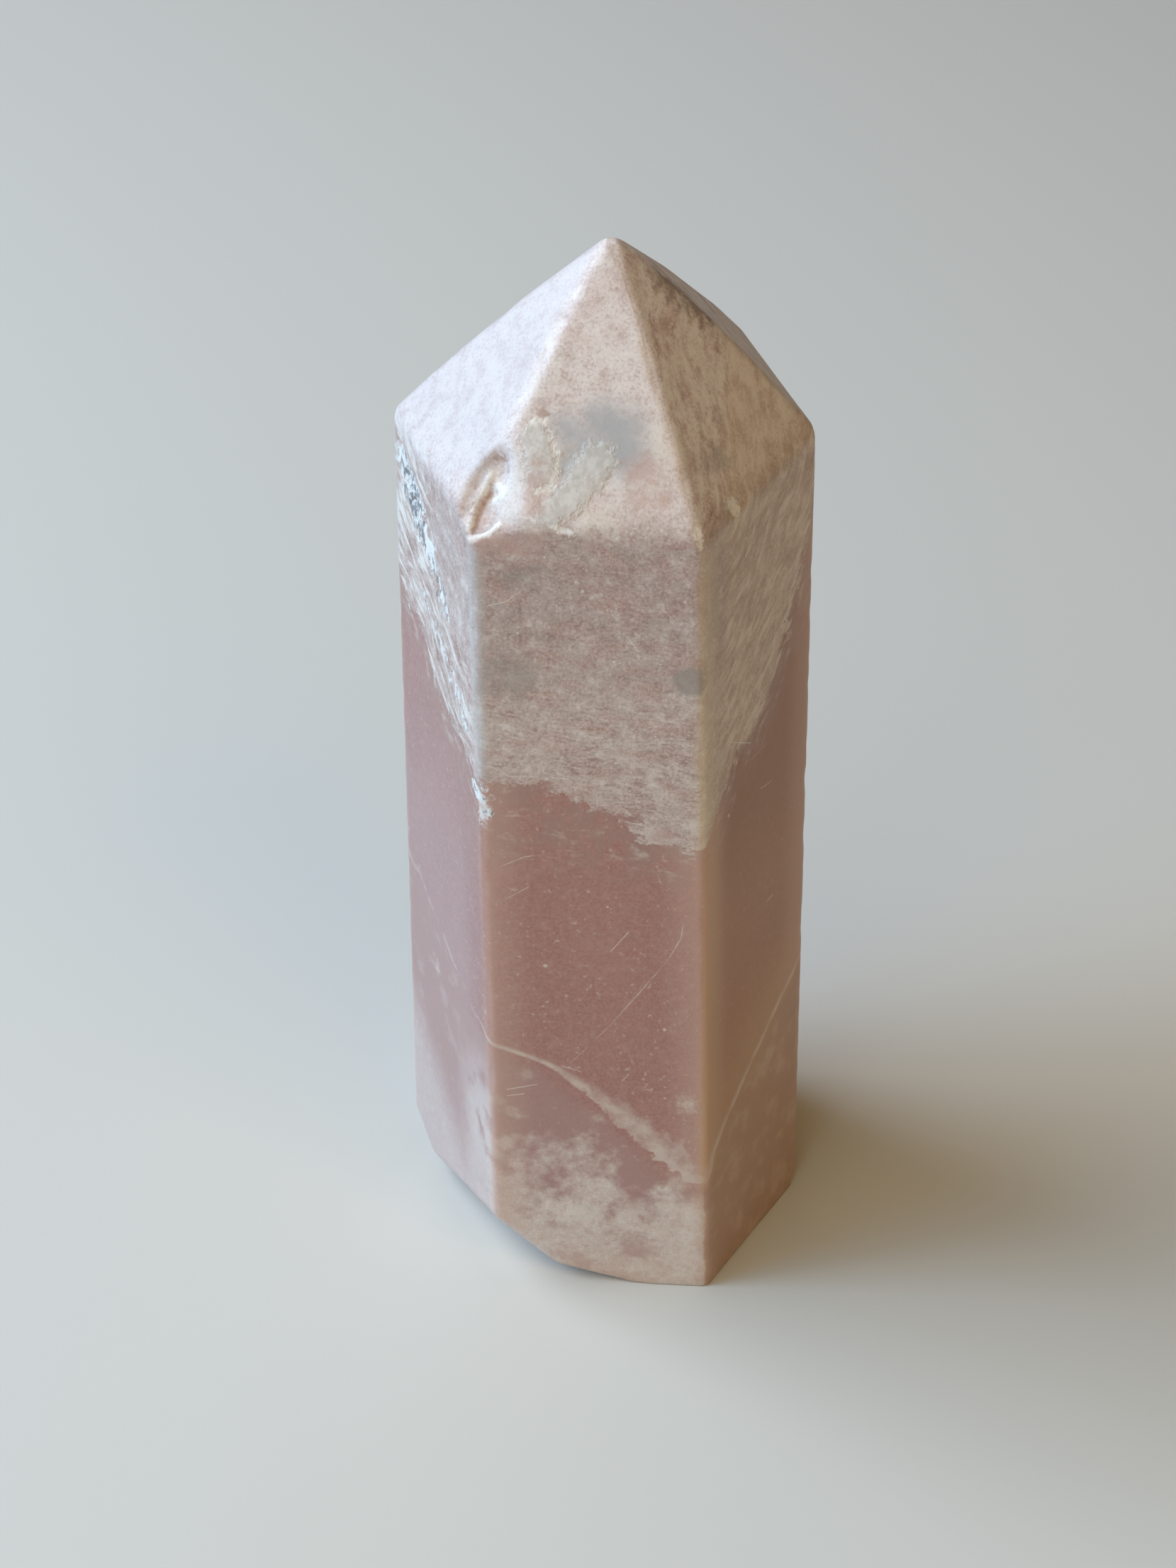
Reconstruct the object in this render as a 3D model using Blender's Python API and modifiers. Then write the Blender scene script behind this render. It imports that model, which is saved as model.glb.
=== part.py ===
# Polished six-sided tower of banded pink opal: one stone, ground to flat facets that meet in a point.
# The frame has +Z up, and its origin is the middle of the base, on the surface the stone stands on.
# Lengths below are in millimetres and angles in degrees. The model is in metres.

import math

import bmesh
import bpy
from mathutils import Matrix, Vector, noise

MM = 0.001
NODE = "opal_tower"

# Every facet is a flat ground plane. Its azimuth is the way it faces, counted from +X towards +Y,
# and its rise is how far that direction points above the horizontal. The shaft's axis stands
# a little off the middle of the base, because the facets aren't quite even.
AXIS = Vector((-0.08, 0.12, 0.0))

# Shaft facets: azimuth, rise, distance from the axis at the base
SHAFT_FACETS = {
    "left": (204.5, -0.5, 14.9),
    "front": (266.0, 0.3, 15.7),
    "right": (329.0, 1.4, 16.1),
    "rear_right": (23.5, -0.4, 15.1),
    "rear": (84.0, 0.3, 15.3),
    "rear_left": (144.5, 1.2, 15.3),
}

# Facets of the point: azimuth, rise. All six meet at the tip. Each bows out a little between
# the tip and the shoulder, and is ground as a few flat bands.
TIP = Vector((0.2, -0.4, 94.1))
POINT_FACETS = {
    "point_left": (211.0, 43.5),
    "point_front": (269.5, 39.5),
    "point_right": (327.0, 37.0),
    "point_rear_right": (16.5, 42.0),
    "point_rear": (88.5, 42.5),
    "point_rear_left": (141.0, 40.5),
}

POINT_LENGTH = 24.0   # down a facet, from the tip to the shoulder
CROWN = 0.5           # how far a facet bows out
CROWN_BANDS = 3

# The worn lower left corner: azimuth, rise, distance from the axis at the base
HEEL_FACETS = {
    "heel_main": (217.0, -38.0, 11.2),
    "heel_front": (217.0, -70.0, 8.0),
    "heel_corner": (185.0, -26.0, 14.3),
}

BLANK_WIDTH = 60.0    # the block that the facets are ground from
BLANK_TOP = 110.0
BLANK_FOOT = 6.0      # the part of it below the base, which the last cut takes off
CORNER_MERGE = 0.9    # facets that meet this close to one corner share it
EDGE_WIDTH = 0.5      # softened edges, across each facet
EDGE_SEGMENTS = 3
SHARP_ANGLE = 12.0    # steeper steps than this between faces are real edges

# Natural hollows and chips: the facet or the two facets it is in, its centre on the surface,
# its half length, half width and depth, and how far it is turned from the facets' shared edge,
# or from straight up the facet
HOLLOWS = {
    "worn_corner": (("point_left", "point_front"), (-10.5, -14.4, 76.9), (6.5, 8.0, 1.3), 0),
    "ridge_cavity": (("point_left", "point_front"), (-9.3, -12.5, 77.5), (2.9, 1.5, 0.8), 3),
    "left_seam": (("left",), (-14.8, -4.9, 73.0), (4.4, 0.7, 0.4), 47),
    "shoulder_chip": (("point_right", "right"), (9.7, -10.9, 76.2), (1.1, 0.7, 0.4), 10),
    "edge_notch": (("right", "rear_right"), (16.9, 0.1, 66.4), (1.0, 0.6, 0.3), 0),
    "base_chip": (("right", "rear_right"), (17.2, -2.2, 0.0), (1.4, 1.2, 0.6), 20),
}
HOLLOW_ROUGHNESS = 0.12  # unevenness of a hollow's wall, as a share of its size
HOLLOW_DETAIL = 3        # how fine its wall is
HOLLOW_RIM = 0.7         # height of the cutting pebble's middle above the surface, over its half height
LUMPS = 1.7              # lumps over the length of a hollow

STONE_COLOUR = (0.48, 0.27, 0.22, 1.0)
STONE_ROUGHNESS = 0.38


def clear_scene():
    for old in list(bpy.data.objects):
        bpy.data.objects.remove(old, do_unlink=True)


def new_collection(name):
    collection = bpy.data.collections.new(name)
    bpy.context.scene.collection.children.link(collection)
    return collection


def facing(azimuth, rise):
    """Unit vector that points to an azimuth and rises by an angle above the horizontal."""
    a, r = math.radians(azimuth), math.radians(rise)
    return Vector((math.cos(a) * math.cos(r), math.sin(a) * math.cos(r), math.sin(r)))


def grind(stone, point, normal):
    """Takes off all of the stone in front of a plane and leaves a flat facet there."""
    everything = stone.verts[:] + stone.edges[:] + stone.faces[:]
    cut = bmesh.ops.bisect_plane(
        stone, geom=everything, dist=0.001 * MM, plane_co=point, plane_no=normal, clear_outer=True
    )
    rim = [item for item in cut["geom_cut"] if isinstance(item, bmesh.types.BMEdge)]
    bmesh.ops.holes_fill(stone, edges=rim, sides=0)


def crown_band(azimuth, rise, band):
    """A point on a flat band of a bowed facet, and its normal. Band 0 is next to the tip."""
    radius = POINT_LENGTH**2 / (8 * CROWN)
    half_arc = math.degrees(math.asin(POINT_LENGTH / (2 * radius)))
    bend = half_arc * ((2 * band + 1) / CROWN_BANDS - 1)
    middle = TIP + facing(azimuth, rise - 90) * POINT_LENGTH / 2
    centre = middle - facing(azimuth, rise) * (radius - CROWN)
    normal = facing(azimuth, rise - bend)
    return centre + normal * radius, normal


def make_block(mesh, bottom, top):
    """Adds a square block of the blank's width between two heights."""
    size = Vector((BLANK_WIDTH, BLANK_WIDTH, top - bottom)) * MM
    middle = Vector((0, 0, (bottom + top) / 2)) * MM
    bmesh.ops.create_cube(mesh, size=1.0, matrix=Matrix.LocRotScale(middle, None, size))


def make_tower(collection):
    """The faceted stone, with its edges softened by a Bevel modifier."""
    stone = bmesh.new()
    make_block(stone, -BLANK_FOOT, BLANK_TOP)
    for azimuth, rise, distance in [*SHAFT_FACETS.values(), *HEEL_FACETS.values()]:
        grind(stone, (AXIS + facing(azimuth, 0) * distance) * MM, facing(azimuth, rise))
    for azimuth, rise in POINT_FACETS.values():
        for band in range(CROWN_BANDS):
            point, normal = crown_band(azimuth, rise, band)
            grind(stone, point * MM, normal)
    bmesh.ops.remove_doubles(stone, verts=stone.verts, dist=CORNER_MERGE * MM)
    bmesh.ops.recalc_face_normals(stone, faces=stone.faces)

    mesh = bpy.data.meshes.new(NODE)
    stone.to_mesh(mesh)
    stone.free()
    tower = bpy.data.objects.new(NODE, mesh)
    collection.objects.link(tower)

    bevel = tower.modifiers.new("softened_edges", "BEVEL")
    bevel.width = EDGE_WIDTH * MM
    bevel.segments = EDGE_SEGMENTS
    bevel.limit_method = "ANGLE"
    bevel.angle_limit = math.radians(SHARP_ANGLE)
    return tower


def facet_normal(name):
    azimuth, rise = (SHAFT_FACETS | POINT_FACETS)[name][:2]
    return facing(azimuth, rise)


def hollow_directions(facets, turn):
    """Unit vectors along a hollow, across it and out of the stone."""
    normals = [facet_normal(name) for name in facets]
    outward = sum(normals, Vector()).normalized()
    if len(normals) == 2:
        along = normals[0].cross(normals[1])
    else:
        along = Vector((0, 0, 1)) - outward * outward.z
    along = Matrix.Rotation(math.radians(turn), 3, outward) @ along.normalized()
    return along, outward.cross(along), outward


def new_cutter(name, mesh, collection):
    cutter = bpy.data.objects.new(name, mesh)
    cutter.hide_render = True
    cutter.display_type = "WIRE"
    collection.objects.link(cutter)
    return cutter


def make_saw_cut(collection):
    """Everything below the flat base."""
    waste = bmesh.new()
    make_block(waste, -2 * BLANK_FOOT, 0)
    mesh = bpy.data.meshes.new("saw_cut")
    waste.to_mesh(mesh)
    waste.free()
    return new_cutter("saw_cut", mesh, collection)


def make_hollow(name, collection, seed):
    """A lumpy closed pebble. Its underside dips into the stone and leaves a dish of the stated size."""
    facets, centre, (half_length, half_width, depth), turn = HOLLOWS[name]
    to_stone = Matrix(hollow_directions(facets, turn)).transposed()
    rim = math.sqrt(1 - HOLLOW_RIM**2)
    size = Vector((half_length / rim, half_width / rim, depth / (1 - HOLLOW_RIM)))
    middle = Vector(centre) + to_stone.col[2] * size.z * HOLLOW_RIM

    pebble = bmesh.new()
    bmesh.ops.create_icosphere(pebble, subdivisions=HOLLOW_DETAIL, radius=1.0)
    for vertex in pebble.verts:
        lump = 1 + HOLLOW_ROUGHNESS * noise.noise(vertex.co * LUMPS + Vector((seed, 0, 0)))
        vertex.co = (to_stone @ (vertex.co * size * lump) + middle) * MM
    mesh = bpy.data.meshes.new(name)
    pebble.to_mesh(mesh)
    pebble.free()

    return new_cutter(name, mesh, collection)


def cut_away(tower, cutter):
    cut = tower.modifiers.new(cutter.name, "BOOLEAN")
    cut.operation = "DIFFERENCE"
    cut.solver = "EXACT"
    cut.object = cutter


def make_material():
    """Satin pink opal."""
    material = bpy.data.materials.new("pink_opal")
    material.use_nodes = True
    shader = material.node_tree.nodes["Principled BSDF"]
    shader.inputs["Base Color"].default_value = STONE_COLOUR
    shader.inputs["Roughness"].default_value = STONE_ROUGHNESS
    shader.inputs["Metallic"].default_value = 0.0
    material.diffuse_color = STONE_COLOUR
    return material


def main():
    clear_scene()
    parts = new_collection("pink_opal_tower")
    cutters = new_collection("cutters")
    tower = make_tower(parts)
    tower.data.materials.append(make_material())
    cut_away(tower, make_saw_cut(cutters))
    for seed, name in enumerate(HOLLOWS):
        cut_away(tower, make_hollow(name, cutters, seed))
    tower.data.shade_smooth()
    tower.data.set_sharp_from_angle(angle=math.radians(SHARP_ANGLE))


main()
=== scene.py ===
import math
from types import SimpleNamespace

import bpy
import numpy as np
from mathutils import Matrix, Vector, noise
from mathutils.bvhtree import BVHTree


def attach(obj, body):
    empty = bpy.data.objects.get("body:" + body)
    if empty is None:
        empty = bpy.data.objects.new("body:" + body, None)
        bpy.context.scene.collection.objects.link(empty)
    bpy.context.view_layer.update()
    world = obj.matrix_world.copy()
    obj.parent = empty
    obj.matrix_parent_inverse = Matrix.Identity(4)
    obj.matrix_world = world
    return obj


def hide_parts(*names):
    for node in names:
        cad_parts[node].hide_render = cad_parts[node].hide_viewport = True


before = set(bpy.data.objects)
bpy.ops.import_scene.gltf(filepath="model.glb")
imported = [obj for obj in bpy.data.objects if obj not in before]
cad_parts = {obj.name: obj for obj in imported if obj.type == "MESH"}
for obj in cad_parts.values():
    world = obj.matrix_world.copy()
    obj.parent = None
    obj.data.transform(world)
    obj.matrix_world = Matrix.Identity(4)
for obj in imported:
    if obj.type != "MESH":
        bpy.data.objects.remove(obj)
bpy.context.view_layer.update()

MM = 0.001
NODE = "opal_tower"

# Shape

# Azimuth of each side, counted from +X towards +Y, and of the facet of the point above it
SIDES = {
    "rear_right": (23.5, 16.5),
    "rear": (84.0, 88.5),
    "rear_left": (144.5, 141.0),
    "left": (204.5, 211.0),
    "front": (266.0, 269.5),
    "right": (329.0, 327.0),
}
SIDE_RISE = (-5.0, 5.0)       # rises of the CAD faces that count as a side
POINT_RISE = (32.0, 42.0)     # rises of those that count as a facet of the point, its lower bands
SAME_AZIMUTH = 4.0            # how far a CAD face may be turned from the side that it belongs to

COLUMNS = 48                  # grid columns on each side
BASE_ROWS = 22
SHAFT_ROWS = 210
POINT_ROWS = 60
COLUMN_CROWDING = 0.72        # how much the grid lines crowd towards the edges, from 0 to 1
ROW_CROWDING = 0.55           # the same for the rows
LOWEST_CENTRE = 8.0           # the rays that find the surface start between these heights
HIGHEST_CENTRE = 72.0
ROUNDING = 3                  # passes that ease the CAD solid's small bevel faces
EASING = 0.5                  # how far towards its neighbours' mean a pass moves a point
EDGE_REACH = 0.45             # how far from an edge it is worn
EDGE_WEAR = 0.16              # how deep the wear goes
UNEVENNESS = 0.05             # how deep the facets' hollows go
# Noises of the relief: the size of their bumps, and where in the noise they start
WEAR_NOISE = (2.2, 3)
UNEVEN_NOISE = (9.0, 8)
LUMP_NOISE = (0.7, 5)
LUMPINESS = 0.5               # how much the small relief varies in height
RELIEF_REACH = 3              # the small relief ends at this many times its width


def direction(azimuth, rise):
    """Unit vector that points to an azimuth and rises by an angle, both in degrees."""
    a, r = math.radians(azimuth), math.radians(rise)
    return np.array([math.cos(a) * math.cos(r), math.sin(a) * math.cos(r), math.sin(r)])


def ground_plane(polygons, azimuth, rises):
    """Normal and distance of the flat facet of the CAD solid that faces an azimuth."""
    normal, middle, area = np.zeros(3), np.zeros(3), 0.0
    for facing, centre, size in polygons:
        turn = math.degrees(math.atan2(facing[1], facing[0])) - azimuth
        rise = math.degrees(math.asin(max(-1.0, min(1.0, facing[2]))))
        if abs((turn + 180) % 360 - 180) < SAME_AZIMUTH and rises[0] < rise < rises[1]:
            normal += facing * size
            middle += centre * size
            area += size
    normal /= np.linalg.norm(normal)
    return normal, float(normal @ middle / area)


def meeting_point(*planes):
    """The one point that three planes share."""
    return np.linalg.solve(np.array([p[0] for p in planes]), np.array([p[1] for p in planes]))


def corners_of(solid):
    """Corners of the base and of the shoulder, each after the side it is named by, and the tip."""
    mesh = solid.data
    polygons = [
        (np.array(p.normal), np.array(p.center) / MM, p.area / MM**2) for p in mesh.polygons
    ]
    sides = [ground_plane(polygons, side, SIDE_RISE) for side, _ in SIDES.values()]
    points = [ground_plane(polygons, point, POINT_RISE) for _, point in SIDES.values()]
    floor = (np.array([0.0, 0.0, 1.0]), 0.0)
    base, shoulder = [], []
    for i, side in enumerate(sides):
        after = (i + 1) % len(sides)
        base.append(meeting_point(side, sides[after], floor))
        near, far = (meeting_point(side, sides[after], points[j]) for j in (i, after))
        shoulder.append((near + far) / 2)
    tip = max((np.array(v.co) / MM for v in mesh.vertices), key=lambda place: place[2])
    return np.array(base), np.array(shoulder), tip


def spread(count, crowding):
    """Fractions from 0 to 1 that crowd towards both ends."""
    even = np.linspace(0.0, 1.0, count + 1)
    return even - crowding * np.sin(2 * math.pi * even) / (2 * math.pi)


def between(first, last, share):
    return first + (last - first) * share


def ideal_grid(base, shoulder, tip):
    """Rows of points on the sharp-edged tower, from the base to the tip, and how far each is from an edge."""
    across = spread(COLUMNS, COLUMN_CROWDING)[:-1]
    rim, brow, width, share = [], [], [], []
    for i in range(len(base)):
        for f in across:
            rim.append(between(base[i - 1], base[i], f))
            brow.append(between(shoulder[i - 1], shoulder[i], f))
            width.append(np.linalg.norm(base[i] - base[i - 1]))
            share.append(min(f, 1 - f))
    rim, brow, width, share = map(np.array, (rim, brow, width, share))
    foot = rim.mean(0)
    rows, edges = [], []
    for s in spread(BASE_ROWS, ROW_CROWDING)[1:-1]:
        rows.append(between(foot, rim, s))
        edges.append((1 - s) * np.linalg.norm(rim - foot, axis=1))
    for s in spread(SHAFT_ROWS, ROW_CROWDING):
        rows.append(between(rim, brow, s))
        height = np.linalg.norm(brow - rim, axis=1)
        edges.append(np.minimum(np.minimum(s, 1 - s) * height, share * width))
    for s in spread(POINT_ROWS, ROW_CROWDING)[1:-1]:
        rows.append(between(brow, tip, s))
        slant = np.linalg.norm(brow - tip, axis=1)
        edges.append(np.minimum(s * slant, share * width * (1 - s)))
    return foot, np.array(rows), np.array(edges)


def cast_onto(solid, targets):
    """Where rays from inside the stone towards each target leave the CAD solid."""
    tree = BVHTree.FromPolygons(
        [v.co / MM for v in solid.data.vertices], [p.vertices[:] for p in solid.data.polygons]
    )
    found = np.empty_like(targets)
    for index in np.ndindex(targets.shape[:-1]):
        target = Vector(targets[index])
        centre = Vector((0, 0, min(max(target.z, LOWEST_CENTRE), HIGHEST_CENTRE)))
        hit = tree.ray_cast(centre, (target - centre).normalized())[0]
        found[index] = hit if hit is not None else target
    return found


def grid_normals(grid):
    """Outward unit normals of a grid that closes round its columns."""
    along = np.roll(grid, -1, axis=1) - np.roll(grid, 1, axis=1)
    up = np.gradient(grid, axis=0)
    normal = np.cross(along, up)
    return normal / np.maximum(np.linalg.norm(normal, axis=-1, keepdims=True), 1e-12)


def ease(grid, passes):
    """Rounds small steps by moving points along their normals towards the mean of their neighbours."""
    for _ in range(passes):
        mean = grid.copy()
        mean[1:-1] = (
            grid[2:] + grid[:-2] + np.roll(grid, 1, axis=1)[1:-1] + np.roll(grid, -1, axis=1)[1:-1]
        ) / 4
        normal = grid_normals(grid)
        grid = grid + normal * ((mean - grid) * normal).sum(-1, keepdims=True) * EASING
    return grid


# Seams and natural features

# Points of the seam between the matrix and the opal, from the left side to the right side
UPPER_SEAM = [
    (-17.0, 0.2, 64.7), (-16.1, -1.9, 61.6), (-15.0, -4.4, 61.3), (-14.5, -5.5, 60.0),
    (-14.1, -6.4, 57.6), (-12.8, -9.0, 55.6), (-11.8, -11.2, 55.2), (-10.9, -13.0, 53.9),
    (-10.2, -14.2, 53.4), (-8.9, -14.7, 53.9), (-7.7, -14.8, 53.5), (-5.5, -15.0, 53.2),
    (-3.2, -15.1, 52.3), (-1.6, -15.2, 51.3), (0.7, -15.4, 50.7), (2.0, -15.5, 50.2),
    (2.4, -15.5, 47.7), (3.8, -15.6, 47.4), (5.3, -15.7, 47.5), (6.7, -15.8, 46.7),
    (7.9, -15.8, 47.6), (9.5, -13.0, 51.6), (10.6, -11.1, 53.0), (12.1, -8.6, 54.3),
    (12.9, -7.1, 55.7), (14.0, -5.3, 58.5), (14.6, -4.1, 60.9), (15.5, -2.4, 64.1),
    (15.8, -1.8, 66.6), (16.7, -0.2, 68.8),
]
# Points of the lower edge of the vein below it, and how thick the vein is there
VEIN = [
    (-17.0, 0.8, 34.5, 0.60), (-15.5, -2.6, 33.0, 0.65), (-14.7, -4.5, 31.8, 0.65),
    (-13.5, -7.0, 30.3, 0.60), (-11.9, -10.5, 28.5, 0.45), (-10.1, -14.4, 26.8, 0.32),
    (-8.6, -14.8, 26.1, 0.36), (-7.1, -15.0, 25.4, 0.38), (-5.7, -15.1, 24.9, 0.38),
    (-4.4, -15.2, 24.2, 0.42), (-2.8, -15.3, 22.6, 0.70), (-1.4, -15.4, 21.1, 1.15),
    (0.3, -15.5, 19.5, 1.50), (2.0, -15.7, 17.4, 1.70), (3.4, -15.8, 15.5, 1.95),
    (4.7, -15.9, 13.5, 2.10), (6.5, -16.0, 12.0, 1.60), (8.0, -16.1, 11.5, 0.80),
    (8.5, -15.8, 12.3, 0.66), (9.4, -14.7, 14.7, 0.62), (10.6, -12.5, 16.9, 0.62),
    (11.9, -10.4, 18.6, 0.60), (13.1, -8.2, 20.4, 0.60), (14.4, -6.0, 22.1, 0.58),
    (15.3, -4.4, 23.5, 0.56), (17.2, -1.6, 25.6, 0.34),
]
SEAM_REACH = 1.3              # how far a seam's point bends the seam around it
SEAM_FADE = 0.12              # how soon the bend dies out away from the points

# Marks in the stone. Each kind lists lines of points and how far the mark reaches from the line.
MARKS = {
    # pale soft ground round the plate, and the bright clouds at the base
    "milky": [
        ([(-1.7, -14.4, 77.2), (-0.5, -14.6, 77.0)], 0.8),
        ([(-7.4, -12.8, 78.3), (-6.9, -12.3, 79.6), (-8.0, -13.3, 77.2)], 0.8),
        ([(3.6, -10.9, 82.2), (4.3, -11.5, 81.3)], 0.7),
        ([(6.7, -16.0, 20.8)], 0.4),
        ([(-14.7, -4.2, 26.3)], 0.2),
        ([(5.4, -16.0, 9.9), (7.2, -16.1, 8.2), (7.1, -16.1, 4.4), (6.4, -16.1, 1.2)], 0.9),
        ([(4.9, -16.0, 0.8), (2.4, -15.8, 1.8)], 0.4),
        ([(0.3, -15.8, 7.2), (-2.8, -15.6, 8.0)], 0.8),
    ],
    # a small round plate and a broken slab
    "plate": [
        ([(-5.5, -10.9, 82.1), (-5.3, -11.6, 81.1), (-5.1, -12.3, 80.1)], 1.25),
        ([(-0.9, -11.9, 80.8), (-1.9, -12.8, 79.5)], 1.45),
        ([(-1.9, -13.0, 79.2), (-3.3, -13.8, 78.2), (-4.4, -14.2, 77.5)], 1.05),
    ],
    "grey": [
        ([(-3.2, -10.4, 82.7), (-1.8, -10.9, 82.1)], 1.1),
        ([(-0.4, -10.2, 83.0), (0.9, -10.6, 82.5), (1.1, -11.6, 81.3)], 1.7),
        ([(-1.8, -11.3, 81.6), (0.3, -11.6, 81.2)], 1.4),
        ([(-3.0, -12.1, 80.5)], 1.0),
    ],
    "haze": [
        ([(-7.6, -14.8, 63.3)], 2.1),
        ([(-7.8, -14.7, 71.8), (-4.6, -14.8, 73.4)], 0.4),
        ([(7.9, -9.7, 79.6), (8.6, -8.6, 79.6)], 0.8),
    ],
    # painted shade: a dark streak near the tip, where the rear right facet of the point faces away from the
    # lights
    "rear_shade": [
        ([(4.0, -0.4, 90.0), (5.6, -0.3, 88.6), (7.4, 0.0, 87.0)], 1.0),
    ],
    "smoke": [
        ([(6.35, -15.8, 63.3)], 1.35),
        ([(-7.6, -11.2, 79.6)], 0.35),
    ],
    "rose": [
        ([(-5.7, -12.2, 80.2), (-5.6, -13.0, 79.2), (-5.6, -13.9, 77.9)], 0.55),
        ([(2.2, -12.3, 80.2), (2.9, -12.5, 79.9)], 0.9),
        ([(2.0, -13.7, 78.3), (4.1, -13.6, 78.5)], 0.6),
        ([(-9.6, -14.4, 74.9), (-8.2, -14.6, 75.2), (-6.0, -14.8, 75.4)], 0.8),
        ([(-9.5, -11.8, 77.0), (-10.0, -13.0, 76.1)], 0.3),
        ([(4.0, -15.6, 48.4), (5.0, -15.7, 48.2)], 0.4),
        ([(3.8, -15.9, 3.8), (1.6, -15.7, 3.6)], 0.6),
        ([(-2.1, -15.5, 2.0), (-3.6, -15.4, 3.2)], 0.6),
    ],
    # cream and white: the plate's rim, ridges, bruised edges and chips
    "pale": [
        ([(-5.8, -10.0, 83.2), (-4.9, -10.0, 83.2), (-4.3, -10.7, 82.4), (-4.0, -11.4, 81.4),
          (-3.9, -12.6, 79.8), (-4.4, -13.0, 79.1), (-5.4, -13.2, 78.9)], 0.24),
        ([(-9.0, -10.8, 78.9), (-9.6, -11.4, 77.8), (-10.2, -12.1, 76.8), (-10.6, -13.5, 75.8)], 0.26),
        ([(-8.4, -11.4, 78.2), (-7.9, -12.1, 78.2), (-8.6, -12.0, 77.3)], 0.32),
        ([(-10.5, -14.2, 75.3), (-9.2, -14.2, 75.8), (-8.3, -14.0, 76.4)], 0.26),
        ([(-6.5, -14.3, 77.3), (-5.7, -14.5, 77.0)], 0.22),
        ([(-4.2, -14.7, 76.7), (-3.1, -14.9, 76.3)], 0.26),
        ([(6.7, -14.9, 76.5), (7.0, -15.5, 75.4)], 0.34),
        ([(9.6, -10.9, 76.5), (9.7, -10.8, 75.9)], 0.62),
        ([(-10.7, -13.6, 52.2), (-10.1, -14.5, 51.4), (-10.0, -14.6, 50.0)], 0.5),
    ],
    # brown spots, and painted shade: in the hollow at the shoulder, under the slab's lower right edge and
    # under the plate's lower rim
    "brown_and_shade": [
        ([(-5.0, -9.6, 83.7)], 0.42),
        ([(-7.8, -10.7, 80.3), (-8.5, -10.6, 80.3)], 0.3),
        # painted shade along the shadowed upper left rim of the hollow
        ([(-9.3, -10.8, 79.4), (-10.0, -11.2, 78.3), (-10.7, -12.0, 77.2)], 0.16),
        # painted shade in a groove of the hollow
        ([(-8.9, -11.4, 77.7), (-9.5, -11.8, 77.0)], 0.12),
        # painted shadow along the crack under the slab's lower right edge
        ([(-3.2, -14.6, 76.9), (-1.8, -14.0, 77.7), (-1.0, -13.5, 78.5), (-0.4, -13.1, 79.2),
          (0.4, -12.6, 79.8)], 0.05),
        # painted shadow under the plate's lower rim
        ([(-3.5, -12.0, 80.6), (-3.6, -12.7, 79.6), (-4.2, -13.3, 78.8), (-5.2, -13.6, 78.4)], 0.05),
    ],
    # glassy, silvery fibres beside an open crack; their white is partly the fibres' own and partly painted
    # glints of light
    "silver_and_glint": [
        ([(-16.2, -2.0, 75.4), (-15.5, -3.4, 73.2), (-14.8, -5.0, 71.0), (-14.2, -6.2, 69.6)], 1.1),
        ([(-14.0, -6.8, 69.4), (-13.2, -8.4, 67.3), (-12.8, -9.3, 65.9)], 0.6),
        ([(-14.5, -5.4, 64.5), (-13.4, -8.0, 62.4), (-12.2, -10.4, 60.0), (-11.4, -12.2, 57.1)], 0.15),
        # white crystal at the front left edge, with a painted glint
        ([(-10.6, -13.8, 52.0), (-10.1, -14.5, 51.4), (-10.0, -14.6, 50.0)], 0.4),
    ],
    # painted shade inside the open crack and its pits
    "pit_shade": [
        ([(-15.9, -2.6, 74.6), (-15.5, -3.4, 73.4), (-15.1, -4.3, 72.0)], 0.42),
        ([(-16.1, -2.4, 73.2), (-15.5, -3.6, 71.3)], 0.2),
        ([(-13.7, -7.5, 67.5), (-13.5, -7.8, 67.1)], 0.16),
    ],
}
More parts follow.
